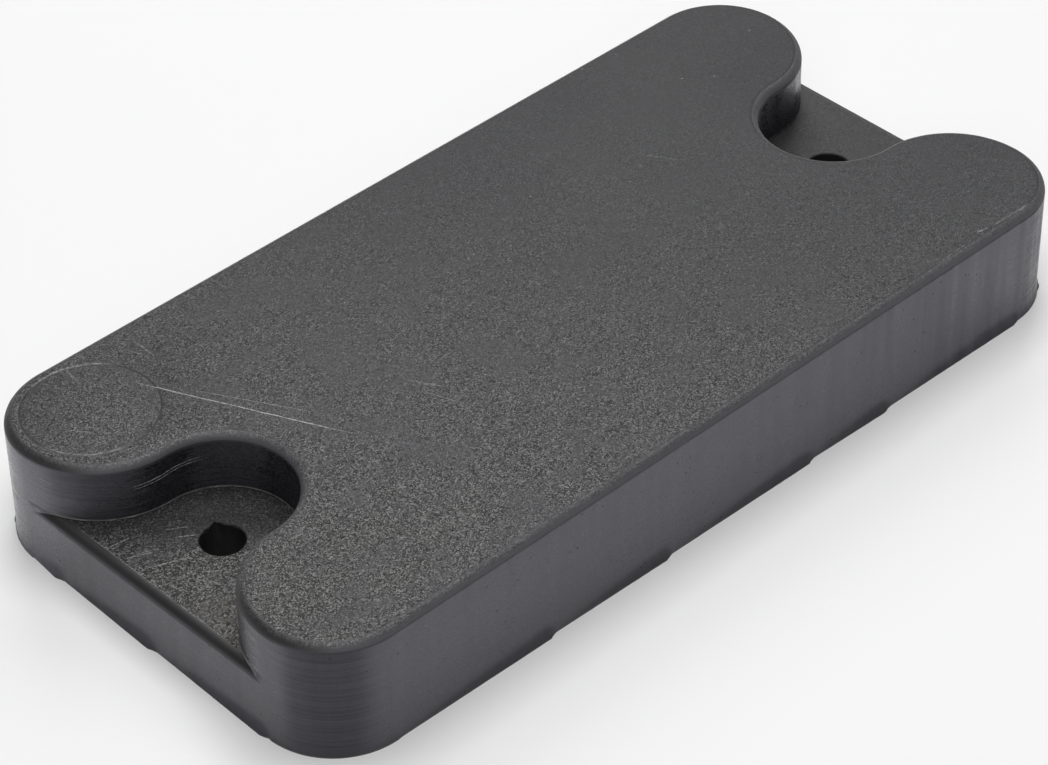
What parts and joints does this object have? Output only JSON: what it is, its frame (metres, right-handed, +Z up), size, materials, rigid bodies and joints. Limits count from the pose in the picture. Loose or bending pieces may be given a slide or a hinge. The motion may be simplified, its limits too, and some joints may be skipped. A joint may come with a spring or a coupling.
{
  "type": "rubber buffer",
  "caption": "Moulded rubber block buffer with rolled edges and a stepped notch in each short end for a bolt head.",
  "frame": {"origin": "middle of the flat underside", "axes": "+X along the length, +Y across the width, +Z up out of the top face"},
  "size_m": [0.151, 0.075, 0.02],
  "materials": {
    "rubber": "matte, finely grained on the top and ledges, smoother on the walls"
  },
  "bodies": {
    "root": {"buffer": "rubber"}
  },
  "joints": []
}
